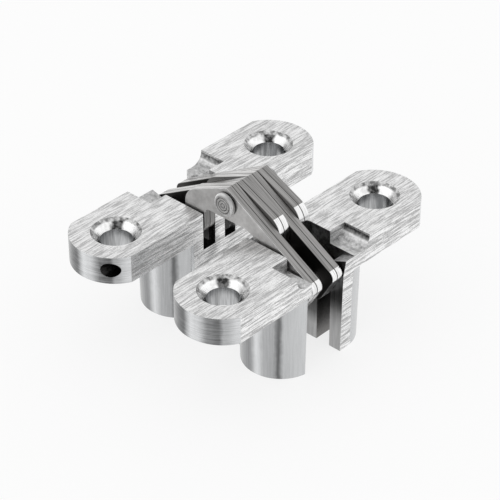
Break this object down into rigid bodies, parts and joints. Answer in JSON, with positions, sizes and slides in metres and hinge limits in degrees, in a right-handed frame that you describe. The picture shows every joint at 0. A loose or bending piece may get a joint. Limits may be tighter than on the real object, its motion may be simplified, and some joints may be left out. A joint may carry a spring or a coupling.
{
  "type": "concealed invisible door hinge",
  "caption": "Concealed mortise door hinge: cast leaves joined by crossed arms of interleaved link plates on pins, folding from flat open to face to face.",
  "frame": {"origin": "middle of the hinge at the foot of its four columns, opened to 180 degrees", "axes": "+Z out of the leaf faces, +Y along the leaves and the pins, +X from the left leaf to the right leaf"},
  "size_m": [0.0326, 0.045, 0.0236],
  "materials": {
    "casting": "satin plated zinc casting, brushed faces",
    "link_plate": "matte stamped steel, brushed edges",
    "pin": "turned steel"
  },
  "bodies": {
    "left_leaf": {"leaf_left": "casting", "pivot_pin_left": "pin"},
    "arm_a": {"arm_a_plate_1": "link_plate", "arm_a_plate_2": "link_plate", "arm_a_plate_3": "link_plate", "arm_a_plate_4": "link_plate", "centre_pin": "pin", "slide_pin_right": "pin"},
    "arm_b": {"arm_b_plate_1": "link_plate", "arm_b_plate_2": "link_plate", "arm_b_plate_3": "link_plate", "arm_b_plate_4": "link_plate", "slide_pin_left": "pin"},
    "right_leaf": {"leaf_right": "casting", "pivot_pin_right": "pin"}
  },
  "joints": [
    {"name": "fold", "type": "hinge", "parent": "left_leaf", "child": "arm_a", "pos_m": [-0.0062, 0, 0.01545], "axis": [0, -1, 0], "range_deg": [0, 120]},
    {"name": "arm_cross", "type": "hinge", "parent": "arm_a", "child": "arm_b", "pos_m": [0, 0, 0.02109], "axis": [0, -1, 0], "range_deg": [-60, 0]},
    {"name": "right_leaf_fold", "type": "hinge", "parent": "arm_b", "child": "right_leaf", "pos_m": [0.0062, 0, 0.01545], "axis": [0, -1, 0], "range_deg": [0, 120]}
  ],
  "couplings": [
    {"joint": "arm_cross", "follows": "fold", "ratio": -0.5},
    {"joint": "right_leaf_fold", "follows": "fold", "ratio": 1}
  ]
}
